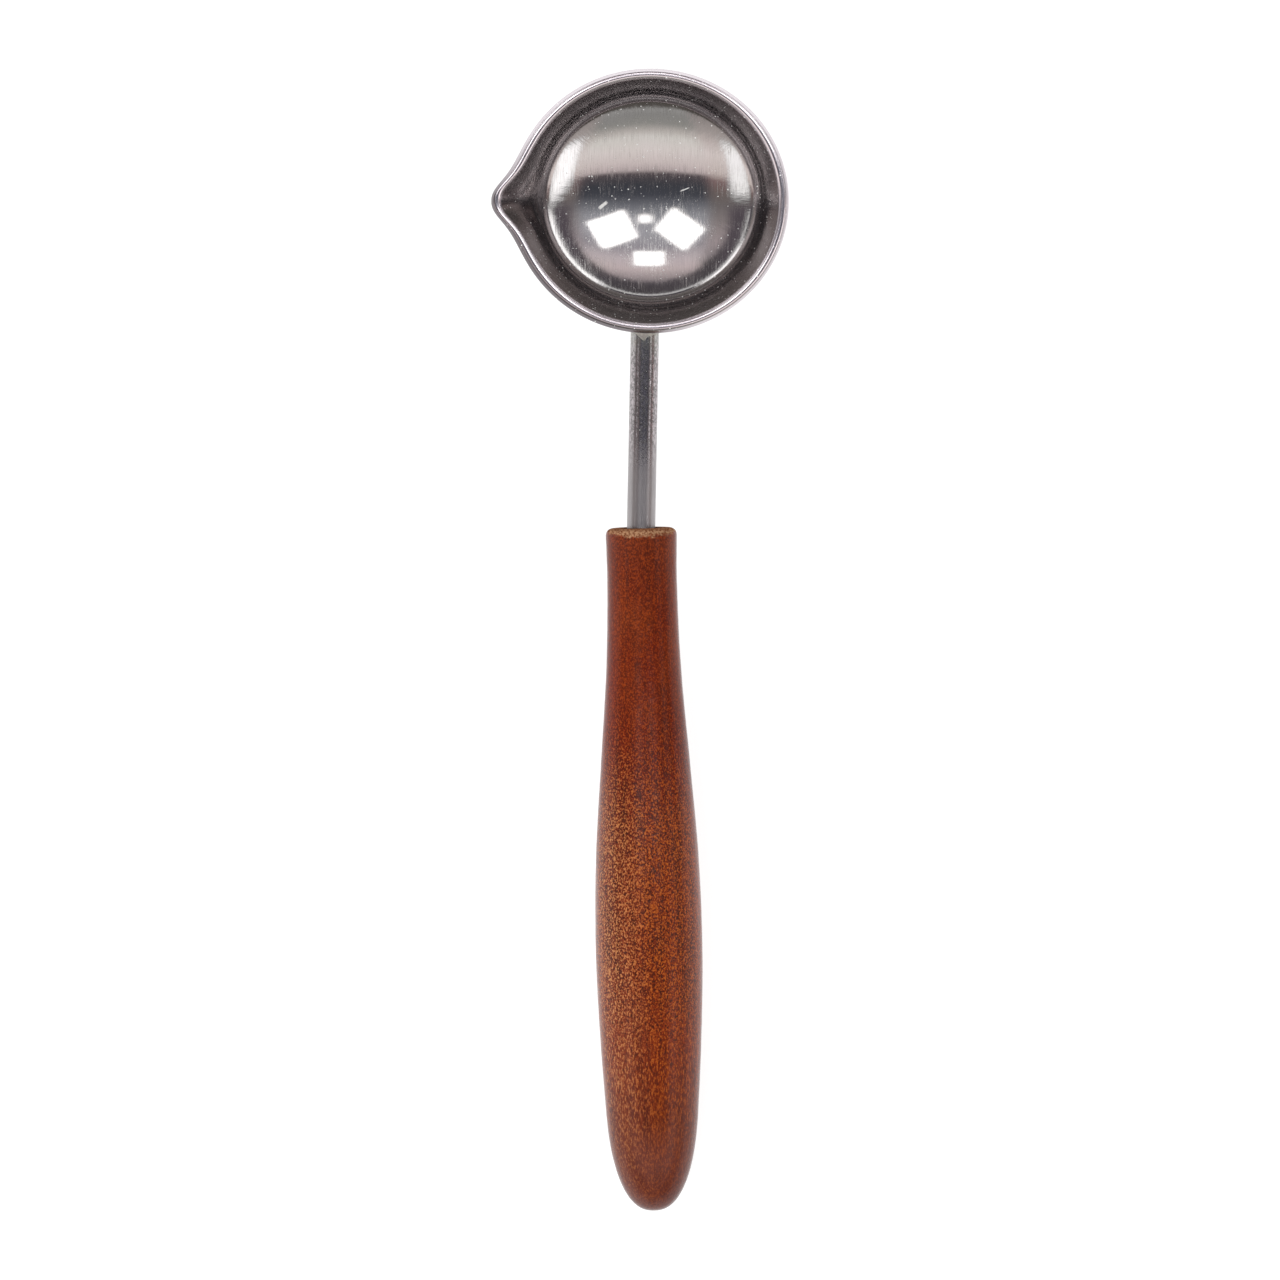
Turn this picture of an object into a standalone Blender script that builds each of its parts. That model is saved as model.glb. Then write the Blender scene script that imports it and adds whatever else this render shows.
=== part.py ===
"""Wax melting spoon: a pressed steel pouring bowl, welded to a steel rod in a turned wooden handle.

Metres, +Z up.  The spoon lies on a table at Z = 0, touching it with the flat spot under the bowl and
with the thickest part of the handle.  The origin is the middle of the flat spot, the handle runs
towards -Y and the pouring spout points to -X.

Every piece is built in the bowl's own axes, where the rim is level, +Z is the bowl's axis and Z = 0 is
its lowest point, and is parented to an empty that leans the whole spoon into its resting pose.
"""

import math

import bmesh
import bpy
from mathutils import Matrix, Vector

# Bowl: a shallow dish, a knuckle, a steep wall and a lip bent outwards and a little down.
SHEET = 0.0006
DISH_CURVE = 0.0280
DISH_EDGE_RADIUS = 0.0138
KNUCKLE = 0.0040
WALL_SLOPE = math.radians(78)
RIM_RADIUS = 0.0190
LIP_BEND = 0.00065
LIP_TURN = math.radians(45)
LIP_FLANGE = 0.0004
OVAL_X = 1.024
OVAL_Y = 0.976
REST_SPOT_RADIUS = 0.0025

# Where those sizes put the ends of each stretch of the inner surface.
DISH_EDGE = math.asin(DISH_EDGE_RADIUS / DISH_CURVE)
DISH_CENTRE_HEIGHT = SHEET + DISH_CURVE
DISH_TOP = DISH_CENTRE_HEIGHT - DISH_CURVE * math.cos(DISH_EDGE)
KNUCKLE_CENTRE = (
    DISH_EDGE_RADIUS - KNUCKLE * math.sin(DISH_EDGE),
    DISH_TOP + KNUCKLE * math.cos(DISH_EDGE),
)
WALL_FOOT_RADIUS = KNUCKLE_CENTRE[0] + KNUCKLE * math.sin(WALL_SLOPE)
WALL_FOOT_HEIGHT = KNUCKLE_CENTRE[1] - KNUCKLE * math.cos(WALL_SLOPE)
LIP_END = math.pi - LIP_TURN
LIP_MIDDLE = LIP_BEND - SHEET / 2
LIP_WIDTH = LIP_MIDDLE * math.sin(LIP_TURN) + LIP_FLANGE * math.cos(LIP_TURN) + SHEET / 2
LIP_DROP = LIP_FLANGE * math.sin(LIP_TURN) - LIP_MIDDLE * math.cos(LIP_TURN) + SHEET / 2
LIP_CENTRE_RADIUS = RIM_RADIUS - LIP_WIDTH
WALL_TOP_RADIUS = LIP_CENTRE_RADIUS - LIP_BEND * math.sin(WALL_SLOPE)
WALL_TOP_HEIGHT = WALL_FOOT_HEIGHT + (WALL_TOP_RADIUS - WALL_FOOT_RADIUS) * math.tan(WALL_SLOPE)
LIP_CENTRE_HEIGHT = WALL_TOP_HEIGHT - LIP_BEND * math.cos(WALL_SLOPE)
BOWL_HEIGHT = LIP_CENTRE_HEIGHT + LIP_BEND

# Spout: the wall pulled outwards around the -X side, most at the rim and not at all below SPOUT_FOOT.
SPOUT_REACH = 0.0029
SPOUT_FOOT = 0.0052
SPOUT_HALF_ANGLE = math.radians(7.1)
SPOUT_SHARPNESS = 1.15

# Rod: it leaves the wall under the lip, square to the bowl's axis, and bends a little at the handle.
ROD_RADIUS = 0.0020
ROD_BELOW_RIM = 0.0035
ROD_SIDE_OFFSET = -0.0007
ROD_LEAN = math.radians(-1.1)
ROD_BEND_LENGTH = 0.0040
TANG_LENGTH = 0.0350

# Weld: a fillet around the end of the rod, sheared to sit on the sloping wall.
WELD_RADIUS = 0.0029
WELD_REACH = 0.0015
WELD_TOE = 0.00015
WELD_ROOT = 0.0020
WELD_SHEAR = 1 / math.tan(WALL_SLOPE)

# Handle, from its front face to its butt, as (distance from the front face, radius).
MOUTH_DISTANCE = 0.0459
HANDLE_LENGTH = 0.0960
HANDLE_LEAN = math.radians(1.1)
HANDLE_STATIONS = (
    (0.000, 0.00505),
    (0.008, 0.00493),
    (0.020, 0.00530),
    (0.033, 0.00628),
    (0.046, 0.00722),
    (0.059, 0.00752),
    (0.072, 0.00712),
    (0.085, 0.00632),
    (0.096, 0.00575),
)
MOUTH_ROUNDING = 0.0011
BUTT_START = 0.0815
BUTT_FULLNESS = 2.4
BORE_RADIUS = 0.0024
BORE_DEPTH = 0.0375
GLUE_RECESS = 0.0010

# Space kept between neighbouring pieces.
FIT_GAP = 0.00005
WELD_GAP = 0.00010

BOWL_SEGMENTS = 96
TURNED_SEGMENTS = 40
SPOUT_BUNCHING = 0.55


def arc(centre, radius, start, end, steps):
    """Points on a circle in the (radius, height) plane.  Angles are measured from straight down."""
    angles = [start + (end - start) * i / steps for i in range(steps + 1)]
    return [(centre[0] + radius * math.sin(a), centre[1] - radius * math.cos(a)) for a in angles]


def pan(offset):
    """The dish and the knuckle, this far outside the inner surface."""
    dish = arc((0, DISH_CENTRE_HEIGHT), DISH_CURVE + offset, 0, DISH_EDGE, 12)
    knuckle = arc(KNUCKLE_CENTRE, KNUCKLE + offset, DISH_EDGE, WALL_SLOPE, 6)
    return dish + knuckle[1:]


def lip(offset):
    """The bend of the lip and its short flange, this far outside the inner surface."""
    centre = (LIP_CENTRE_RADIUS, LIP_CENTRE_HEIGHT)
    bend = arc(centre, LIP_BEND - offset, math.pi + WALL_SLOPE, LIP_END, 6)
    radius, height = bend[-1]
    end = (radius + LIP_FLANGE * math.cos(LIP_TURN), height - LIP_FLANGE * math.sin(LIP_TURN))
    return bend + [end]


def skin(offset):
    """One side of the sheet from near the middle to the lip, this far outside the inner surface."""
    below, above = pan(offset), lip(offset)
    foot, top = below[-1], above[0]
    wall = [tuple(f + (t - f) * i / 4 for f, t in zip(foot, top)) for i in range(1, 4)]
    return below + wall + above


def bowl_profile():
    """Closed cross-section of the sheet: inner side, rounded edge, outer side."""
    inside, outside = skin(0), skin(SHEET)
    edge_centre = tuple((i + o) / 2 for i, o in zip(inside[-1], outside[-1]))
    edge = arc(edge_centre, SHEET / 2, LIP_END, LIP_END - math.pi, 4)
    return inside + edge[1:-1] + outside[::-1]


def envelope_profile():
    """The bowl filled to above its rim and swollen by WELD_GAP, for cutting what is welded to it."""
    top, brim = BOWL_HEIGHT + 0.001, RIM_RADIUS + WELD_GAP
    under_lip = LIP_CENTRE_HEIGHT - LIP_DROP - WELD_GAP
    outside = pan(SHEET + WELD_GAP)
    foot_radius, foot_height = outside[-1]
    wall_top = foot_radius + (under_lip - foot_height) / math.tan(WALL_SLOPE)
    return [(0, top), (brim, top), (brim, under_lip), (wall_top, under_lip)] + outside[::-1]


def outer_radius(height):
    """Radius of the bowl's outer surface at this height, before it is made oval."""
    points = skin(SHEET)
    below = max(i for i in range(len(points) - 1) if points[i][1] <= height)
    (r0, z0), (r1, z1) = points[below], points[below + 1]
    return r0 + (r1 - r0) * (height - z0) / (z1 - z0)


def spout_pull(angle_from_spout, height):
    """How far the wall is pulled outwards at this angle and height."""
    across = 1 / math.cosh((abs(angle_from_spout) / SPOUT_HALF_ANGLE) ** SPOUT_SHARPNESS)
    up = max(0, (height - SPOUT_FOOT) / (BOWL_HEIGHT - SPOUT_FOOT))
    return SPOUT_REACH * across * up


def form_bowl(mesh):
    """Presses the round bowl into its oval shape and pulls out the spout."""
    for vertex in mesh.vertices:
        x, y, z = vertex.co
        radius = math.hypot(x, y)
        angle = math.atan2(y, -x)
        angle -= SPOUT_BUNCHING * math.sin(angle)
        radius += spout_pull(angle, z)
        vertex.co = (-radius * math.cos(angle) * OVAL_X, radius * math.sin(angle) * OVAL_Y, z)


def smooth_through(stations, s):
    """Cubic interpolation of (position, value) stations."""
    last = len(stations) - 1
    k = next((i for i in range(last) if s <= stations[i + 1][0]), last - 1)
    before, after = max(k - 1, 0), min(k + 2, last)

    def slope(i, j):
        return (stations[j][1] - stations[i][1]) / (stations[j][0] - stations[i][0])

    (s0, v0), (s1, v1) = stations[k], stations[k + 1]
    width = s1 - s0
    t = (s - s0) / width
    m0, m1 = slope(before, k + 1) * width, slope(k, after) * width
    return (
        (2 * t**3 - 3 * t**2 + 1) * v0
        + (t**3 - 2 * t**2 + t) * m0
        + (3 * t**2 - 2 * t**3) * v1
        + (t**3 - t**2) * m1
    )


def handle_radius(s):
    """Radius of the handle at distance s from its front face."""
    radius = smooth_through(HANDLE_STATIONS, s)
    if s < MOUTH_ROUNDING:
        radius -= MOUTH_ROUNDING - math.sqrt(MOUTH_ROUNDING**2 - (MOUTH_ROUNDING - s) ** 2)
    if s > BUTT_START:
        t = min(1.0, (s - BUTT_START) / (HANDLE_LENGTH - BUTT_START))
        radius *= (1 - t**BUTT_FULLNESS) ** (1 / BUTT_FULLNESS)
    return radius


def handle_profile():
    """The bore, the front face and the outside of the handle, with the butt at the bottom."""
    mouth = [MOUTH_ROUNDING * (1 - math.cos(math.pi / 2 * i / 4)) for i in range(5)]
    body = [MOUTH_ROUNDING + (BUTT_START - MOUTH_ROUNDING) * i / 16 for i in range(1, 17)]
    butt_length = HANDLE_LENGTH - BUTT_START
    butt = [BUTT_START + butt_length * math.sin(math.pi / 2 * i / 9) for i in range(1, 9)]
    outside = [(handle_radius(s), -s) for s in mouth + body + butt]
    bore = [(0, -BORE_DEPTH), (BORE_RADIUS, -BORE_DEPTH), (BORE_RADIUS, 0)]
    return bore + outside + [(0, -HANDLE_LENGTH)]


def glue_profile():
    """A cup of glue: it fills the bore around the tang and below its end."""
    inner, outer = ROD_RADIUS + FIT_GAP, BORE_RADIUS - FIT_GAP
    floor, top = -(TANG_LENGTH + FIT_GAP), -GLUE_RECESS
    bottom = -(BORE_DEPTH - FIT_GAP)
    return [(0, floor), (inner, floor), (inner, top), (outer, top), (outer, bottom), (0, bottom)]


def weld_profile():
    """Cross-section of the fillet.  It starts inside the bowl wall, which is then cut away."""
    inner = ROD_RADIUS + FIT_GAP
    hollow = WELD_RADIUS - inner - WELD_TOE
    quarter = [math.pi / 2 * i / 5 for i in range(6)]
    curve = [
        (inner + WELD_TOE + hollow * (1 - math.sin(a)), -WELD_REACH * (1 - math.cos(a)))
        for a in quarter
    ]
    return [(inner, -WELD_REACH), (inner, WELD_ROOT), (WELD_RADIUS, WELD_ROOT)] + curve


def new_object(name, data, collection):
    obj = bpy.data.objects.new(name, data)
    collection.objects.link(obj)
    return obj


def turned(name, profile, segments, collection, closed=False):
    """A profile of (radius, height) points revolved around the object's Z axis."""
    mesh = bpy.data.meshes.new(name)
    edges = [(i, i + 1) for i in range(len(profile) - 1)]
    if closed:
        edges.append((len(profile) - 1, 0))
    mesh.from_pydata([(r, 0, z) for r, z in profile], edges, [])
    obj = new_object(name, mesh, collection)
    screw = obj.modifiers.new("Turning", "SCREW")
    screw.steps = screw.render_steps = segments
    screw.use_merge_vertices = True
    screw.merge_threshold = 0.00001
    return obj


def make_real(obj):
    """Replaces a modified or curve object with a plain mesh object of the same name."""
    bpy.context.view_layer.update()
    evaluated = obj.evaluated_get(bpy.context.evaluated_depsgraph_get())
    mesh = bpy.data.meshes.new_from_object(evaluated)
    name, collection, matrix = obj.name, obj.users_collection[0], obj.matrix_world.copy()
    bpy.data.objects.remove(obj)
    bm = bmesh.new()
    bm.from_mesh(mesh)
    bmesh.ops.remove_doubles(bm, verts=bm.verts, dist=0.000002)
    bm.to_mesh(mesh)
    bm.free()
    real = new_object(name, mesh, collection)
    real.matrix_world = matrix
    return real


def hang_from(obj, start, way):
    """Places obj at start with its own -Z axis pointing this way and its +Y axis upwards."""
    obj.location = start
    obj.rotation_euler = (-way).to_track_quat("Z", "Y").to_euler()


def cut(obj, cutter, name):
    modifier = obj.modifiers.new(name, "BOOLEAN")
    modifier.operation = "DIFFERENCE"
    modifier.object = cutter


def as_guide(obj):
    obj.hide_render = True
    obj.display_type = "WIRE"
    return obj


def finish(name, colour, roughness, metallic):
    material = bpy.data.materials.new(name)
    material.use_nodes = True
    shader = material.node_tree.nodes["Principled BSDF"]
    shader.inputs["Base Color"].default_value = (*colour, 1)
    shader.inputs["Roughness"].default_value = roughness
    shader.inputs["Metallic"].default_value = metallic
    return material


def dress(obj, material):
    obj.data.materials.append(material)
    obj.data.shade_smooth()
    obj.data.set_sharp_from_angle(angle=math.radians(35))


def pose_at(slope):
    """Where the bowl's axes lie when the spoon leans by this slope with its flat spot on the table."""
    outer_curve = DISH_CURVE + SHEET
    centre_height = math.sqrt(outer_curve**2 - REST_SPOT_RADIUS**2)
    lean = Matrix.Rotation(slope, 4, "X")
    return Matrix.Translation((0, 0, centre_height)) @ lean @ Matrix.Translation((0, 0, -outer_curve))


def level_way(lean):
    """Unit vector along -Y in the bowl's axes, leaning towards +X by this angle."""
    return Vector((math.sin(lean), -math.cos(lean), 0))


def handle_clearance(slope, mouth):
    """Height of the handle's lowest point above the table when the spoon leans by this slope."""
    pose = pose_at(slope)
    stations = [HANDLE_LENGTH * i / 200 for i in range(201)]
    axis = [pose @ (mouth + level_way(HANDLE_LEAN) * s) for s in stations]
    return min(p.z - handle_radius(s) * math.cos(slope) for p, s in zip(axis, stations))


def resting_slope(mouth):
    """The slope at which the handle just touches the table."""
    low, high = 0.0, math.radians(15)
    for _ in range(40):
        middle = (low + high) / 2
        if handle_clearance(middle, mouth) > 0:
            low = middle
        else:
            high = middle
    return low


def make_bowl(parts, cutters):
    bowl = make_real(turned("bowl", bowl_profile(), BOWL_SEGMENTS, parts))
    form_bowl(bowl.data)
    table = bpy.data.meshes.new("table")
    bm = bmesh.new()
    bmesh.ops.create_cube(bm, size=0.02, matrix=Matrix.Translation((0, 0, -0.01)))
    bm.to_mesh(table)
    bm.free()
    cut(bowl, as_guide(new_object("table", table, cutters)), "Flat spot")
    return bowl


def make_envelope(cutters):
    envelope = make_real(turned("bowl_envelope", envelope_profile(), BOWL_SEGMENTS, cutters))
    form_bowl(envelope.data)
    return as_guide(envelope)


def make_rod(path, parts):
    curve = bpy.data.curves.new("shank_rod", "CURVE")
    curve.dimensions = "3D"
    curve.bevel_depth = ROD_RADIUS
    curve.bevel_resolution = 14
    curve.use_fill_caps = True
    spline = curve.splines.new("POLY")
    spline.points.add(len(path) - 1)
    for point, place in zip(spline.points, path):
        point.co = (*place, 1)
    return make_real(new_object("shank_rod", curve, parts))


def make_weld(parts):
    weld = make_real(turned("weld_bead", weld_profile(), TURNED_SEGMENTS, parts, closed=True))
    for vertex in weld.data.vertices:
        vertex.co.z -= WELD_SHEAR * vertex.co.y
    return weld


def build():
    for obj in list(bpy.data.objects):
        bpy.data.objects.remove(obj)
    parts = bpy.data.collections.new("wax_melting_spoon")
    cutters = bpy.data.collections.new("cutters")
    for collection in (parts, cutters):
        bpy.context.scene.collection.children.link(collection)

    rod_height = BOWL_HEIGHT - ROD_BELOW_RIM
    wall_distance = OVAL_Y * outer_radius(rod_height)
    rod_way, handle_way = level_way(ROD_LEAN), level_way(HANDLE_LEAN)
    wall_point = Vector((ROD_SIDE_OFFSET, -wall_distance, rod_height))
    mouth = wall_point + rod_way * ((MOUTH_DISTANCE - wall_distance) / -rod_way.y)
    inside_bowl = wall_point - rod_way * 0.003
    bend_start = mouth - rod_way * ROD_BEND_LENGTH
    tang_end = mouth + handle_way * TANG_LENGTH

    bowl = make_bowl(parts, cutters)
    envelope = make_envelope(cutters)
    dress(bowl, finish("polished_steel", (0.60, 0.58, 0.57), 0.18, 1.0))

    rod = make_rod([inside_bowl, bend_start, mouth, tang_end], parts)
    cut(rod, envelope, "Coped to the wall")
    dress(rod, finish("drawn_steel", (0.50, 0.49, 0.49), 0.32, 1.0))

    weld = make_weld(parts)
    hang_from(weld, wall_point, rod_way)
    cut(weld, envelope, "Fused to the wall")
    dress(weld, finish("weld_metal", (0.48, 0.47, 0.45), 0.40, 1.0))

    handle = turned("handle", handle_profile(), TURNED_SEGMENTS, parts)
    hang_from(handle, mouth, handle_way)
    dress(handle, finish("stained_hardwood", (0.30, 0.085, 0.030), 0.35, 0.0))

    adhesive = turned("adhesive", glue_profile(), TURNED_SEGMENTS, parts)
    hang_from(adhesive, mouth, handle_way)
    dress(adhesive, finish("clear_glue", (0.72, 0.62, 0.42), 0.30, 0.0))

    pose = new_object("resting_pose", None, parts)
    pose.matrix_world = pose_at(resting_slope(mouth))
    for piece in (bowl, envelope, rod, weld, handle, adhesive):
        piece.parent = pose


build()
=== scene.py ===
"""The looks of the wax melting spoon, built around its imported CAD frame.

Fine meshes stand for the faceted CAD pieces.  They are built from the same sizes, in the bowl's own
axes, and every point is kept inside the CAD's box, which is read from the frame.
"""

import math

import bmesh
import bpy
import numpy as np
from mathutils import Matrix, Vector


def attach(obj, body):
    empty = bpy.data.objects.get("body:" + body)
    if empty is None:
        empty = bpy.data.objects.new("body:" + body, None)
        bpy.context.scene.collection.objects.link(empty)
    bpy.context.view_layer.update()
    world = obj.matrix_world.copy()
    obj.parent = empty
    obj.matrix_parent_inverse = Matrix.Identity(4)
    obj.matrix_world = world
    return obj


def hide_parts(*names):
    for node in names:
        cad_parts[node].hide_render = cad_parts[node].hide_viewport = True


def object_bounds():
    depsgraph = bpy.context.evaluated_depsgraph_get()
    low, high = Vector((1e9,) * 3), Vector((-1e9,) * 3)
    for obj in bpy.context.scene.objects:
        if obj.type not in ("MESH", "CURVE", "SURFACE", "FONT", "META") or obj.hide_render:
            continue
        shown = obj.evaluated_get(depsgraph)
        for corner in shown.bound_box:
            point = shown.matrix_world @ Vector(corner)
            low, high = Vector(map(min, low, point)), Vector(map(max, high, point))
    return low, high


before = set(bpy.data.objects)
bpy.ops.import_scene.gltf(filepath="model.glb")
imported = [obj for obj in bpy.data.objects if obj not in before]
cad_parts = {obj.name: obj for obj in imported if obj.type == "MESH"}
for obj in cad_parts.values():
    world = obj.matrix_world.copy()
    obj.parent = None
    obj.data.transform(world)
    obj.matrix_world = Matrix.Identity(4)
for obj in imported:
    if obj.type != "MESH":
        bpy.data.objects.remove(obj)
CAD_LOW, CAD_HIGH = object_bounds()

# ---------------------------------------------------------------------------------------------
# Sizes, in metres
# ---------------------------------------------------------------------------------------------
SHEET = 0.0006
DISH_CURVE = 0.0280
DISH_EDGE_RADIUS = 0.0138
KNUCKLE = 0.0040
WALL_SLOPE = math.radians(78)
RIM_RADIUS = 0.0190
LIP_BEND = 0.00065
LIP_TURN = math.radians(45)
LIP_FLANGE = 0.0004
OVAL_X = 1.024
OVAL_Y = 0.976
REST_SPOT_RADIUS = 0.0025
SPOUT_REACH = 0.0029
SPOUT_FOOT = 0.0052
SPOUT_HALF_ANGLE = math.radians(7.1)
SPOUT_SHARPNESS = 1.15
ROD_RADIUS = 0.0020
ROD_BELOW_RIM = 0.0035
ROD_SIDE_OFFSET = -0.0007
ROD_LEAN = math.radians(-1.1)
ROD_BEND_LENGTH = 0.0040
TANG_LENGTH = 0.0350
TANG_CHAMFER = 0.0003
WELD_RADIUS = 0.0029
WELD_REACH = 0.0015
MOUTH_DISTANCE = 0.0459
HANDLE_LENGTH = 0.0960
HANDLE_LEAN = math.radians(1.1)
HANDLE_STATIONS = (
    (0.000, 0.00505),
    (0.008, 0.00493),
    (0.020, 0.00530),
    (0.033, 0.00628),
    (0.046, 0.00722),
    (0.059, 0.00752),
    (0.072, 0.00712),
    (0.085, 0.00632),
    (0.096, 0.00575),
)
MOUTH_ROUNDING = 0.0011
BUTT_START = 0.0815
BUTT_FULLNESS = 2.4
BORE_RADIUS = 0.0024
BORE_DEPTH = 0.0375
BORE_CHAMFER = 0.00015
GLUE_RECESS = 0.0010
MENISCUS = 0.0003

DISH_EDGE = math.asin(DISH_EDGE_RADIUS / DISH_CURVE)
DISH_CENTRE_HEIGHT = SHEET + DISH_CURVE
DISH_TOP = DISH_CENTRE_HEIGHT - DISH_CURVE * math.cos(DISH_EDGE)
KNUCKLE_CENTRE = (
    DISH_EDGE_RADIUS - KNUCKLE * math.sin(DISH_EDGE),
    DISH_TOP + KNUCKLE * math.cos(DISH_EDGE),
)
WALL_FOOT_RADIUS = KNUCKLE_CENTRE[0] + KNUCKLE * math.sin(WALL_SLOPE)
WALL_FOOT_HEIGHT = KNUCKLE_CENTRE[1] - KNUCKLE * math.cos(WALL_SLOPE)
LIP_END = math.pi - LIP_TURN
LIP_MIDDLE = LIP_BEND - SHEET / 2
LIP_WIDTH = LIP_MIDDLE * math.sin(LIP_TURN) + LIP_FLANGE * math.cos(LIP_TURN) + SHEET / 2
LIP_DROP = LIP_FLANGE * math.sin(LIP_TURN) - LIP_MIDDLE * math.cos(LIP_TURN) + SHEET / 2
LIP_CENTRE_RADIUS = RIM_RADIUS - LIP_WIDTH
WALL_TOP_RADIUS = LIP_CENTRE_RADIUS - LIP_BEND * math.sin(WALL_SLOPE)
WALL_TOP_HEIGHT = WALL_FOOT_HEIGHT + (WALL_TOP_RADIUS - WALL_FOOT_RADIUS) * math.tan(WALL_SLOPE)
LIP_CENTRE_HEIGHT = WALL_TOP_HEIGHT - LIP_BEND * math.cos(WALL_SLOPE)
BOWL_HEIGHT = LIP_CENTRE_HEIGHT + LIP_BEND
FLANGE_WAY = np.array((math.cos(LIP_TURN), -math.sin(LIP_TURN)))

# How finely the visible surfaces are divided.
BOWL_SEGMENTS = 400
SPOUT_BUNCHING = 0.40
ROD_SEGMENTS = 96
WELD_SEGMENTS = 144
HANDLE_SEGMENTS = 224
GLUE_SEGMENTS = 96

# Fine relief, in metres.
SHEET_WAVE = 0.000006
WITNESS_DEPTH = 0.00003
WITNESS_RADIUS = 0.0015
ROD_WAVE = 0.000004
WELD_RIPPLE = 0.00007
WELD_LUMPS = 0.00012
WELD_SPREAD = 0.0002
WELD_TONGUE = 0.0006
PORE_DEPTH = 0.000022
HAND_WOBBLE = 0.00004
CLEARANCE = 0.00002


# ---------------------------------------------------------------------------------------------
# Profiles: points of (radius, height) or (distance along, radius)
# ---------------------------------------------------------------------------------------------
def arc(centre, radius, start, end, steps):
    """Points on a circle.  Angles are measured from straight down."""
    angle = np.linspace(start, end, steps + 1)
    return np.stack([centre[0] + radius * np.sin(angle), centre[1] - radius * np.cos(angle)], 1)


def skin(offset):
    """One side of the sheet from the middle to the lip, this far outside the inner surface."""
    dish = arc((0, DISH_CENTRE_HEIGHT), DISH_CURVE + offset, 0, DISH_EDGE, 56)
    knuckle = arc(KNUCKLE_CENTRE, KNUCKLE + offset, DISH_EDGE, WALL_SLOPE, 18)
    lip_centre = (LIP_CENTRE_RADIUS, LIP_CENTRE_HEIGHT)
    bend = arc(lip_centre, LIP_BEND - offset, math.pi + WALL_SLOPE, LIP_END, 20)
    wall = knuckle[-1] + np.linspace(0, 1, 17)[1:-1, None] * (bend[0] - knuckle[-1])
    flange = bend[-1] + np.linspace(0, 1, 4)[1:, None] * LIP_FLANGE * FLANGE_WAY
    return np.concatenate([dish, knuckle[1:], wall, bend, flange])


def sheet_outline():
    """The inner side from the middle outwards, the rolled edge, and the outer side back."""
    inside, outside = skin(0), skin(SHEET)
    edge = arc((inside[-1] + outside[-1]) / 2, SHEET / 2, LIP_END, LIP_END - math.pi, 12)
    return np.concatenate([inside, edge[1:-1], outside[::-1]])


def outer_radius(height):
    outside = skin(SHEET)
    outside = outside[: np.argmax(outside[:, 1])]
    return np.interp(height, outside[:, 1], outside[:, 0])


def smooth_through(stations, s):
    """Cubic interpolation of (position, value) stations."""
    place, value = np.array(stations).T
    k = np.clip(np.searchsorted(place, s, side="left") - 1, 0, len(place) - 2)
    before, after = np.maximum(k - 1, 0), np.minimum(k + 2, len(place) - 1)
    width = place[k + 1] - place[k]
    t = (s - place[k]) / width
    m0 = (value[k + 1] - value[before]) / (place[k + 1] - place[before]) * width
    m1 = (value[after] - value[k]) / (place[after] - place[k]) * width
    rise = 3 * t**2 - 2 * t**3
    return (1 - rise) * value[k] + (t**3 - 2 * t**2 + t) * m0 + rise * value[k + 1] + (t**3 - t**2) * m1


def handle_radius(s):
    """Radius of the handle at distance s from its front face."""
    s = np.asarray(s, float)
    radius = smooth_through(HANDLE_STATIONS, s)
    short = np.clip(MOUTH_ROUNDING - s, 0, None)
    radius = radius - (MOUTH_ROUNDING - np.sqrt(MOUTH_ROUNDING**2 - short**2))
    t = np.clip((s - BUTT_START) / (HANDLE_LENGTH - BUTT_START), 0, 1)
    return radius * (1 - t**BUTT_FULLNESS) ** (1 / BUTT_FULLNESS)


# ---------------------------------------------------------------------------------------------
# Relief: smooth and grainy fields on the surfaces, the same on every run
# ---------------------------------------------------------------------------------------------
HASH_PRIMES = np.array((73856093, 19349663, 83492791))


def value_noise(points, cell, seed):
    """Smooth noise from -1 to 1 at points, with features about one cell wide."""
    grid = np.asarray(points) / cell
    low = np.floor(grid).astype(np.int64)
    part = grid - low
    part = part * part * (3 - 2 * part)
    total = 0
    for corner in np.ndindex(2, 2, 2):
        at = low + corner
        mixed = np.bitwise_xor.reduce(at * HASH_PRIMES, axis=-1) ^ seed * 2654435761
        mixed = (mixed ^ mixed >> 13) * 1274126177 & 0x7FFFFFFF
        mixed = (mixed ^ mixed >> 16) & 0xFFFF
        weight = np.prod(np.where(corner, part, 1 - part), axis=-1)
        total = total + weight * (mixed / 32767.5 - 1)
    return total


def bump(x, width):
    return np.exp(-((x / width) ** 2))


# ---------------------------------------------------------------------------------------------
# Meshes
# ---------------------------------------------------------------------------------------------
def grid_faces(rows, columns, ring):
    """Quads between the rows of a grid whose columns close on themselves."""
    i, j = np.meshgrid(np.arange(rows if ring else rows - 1), np.arange(columns), indexing="ij")
    here, right = i * columns + j, i * columns + (j + 1) % columns
    above, above_right = (i + 1) % rows * columns + j, (i + 1) % rows * columns + (j + 1) % columns
    return np.stack([here, right, above_right, above], -1).reshape(-1, 4)


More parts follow.
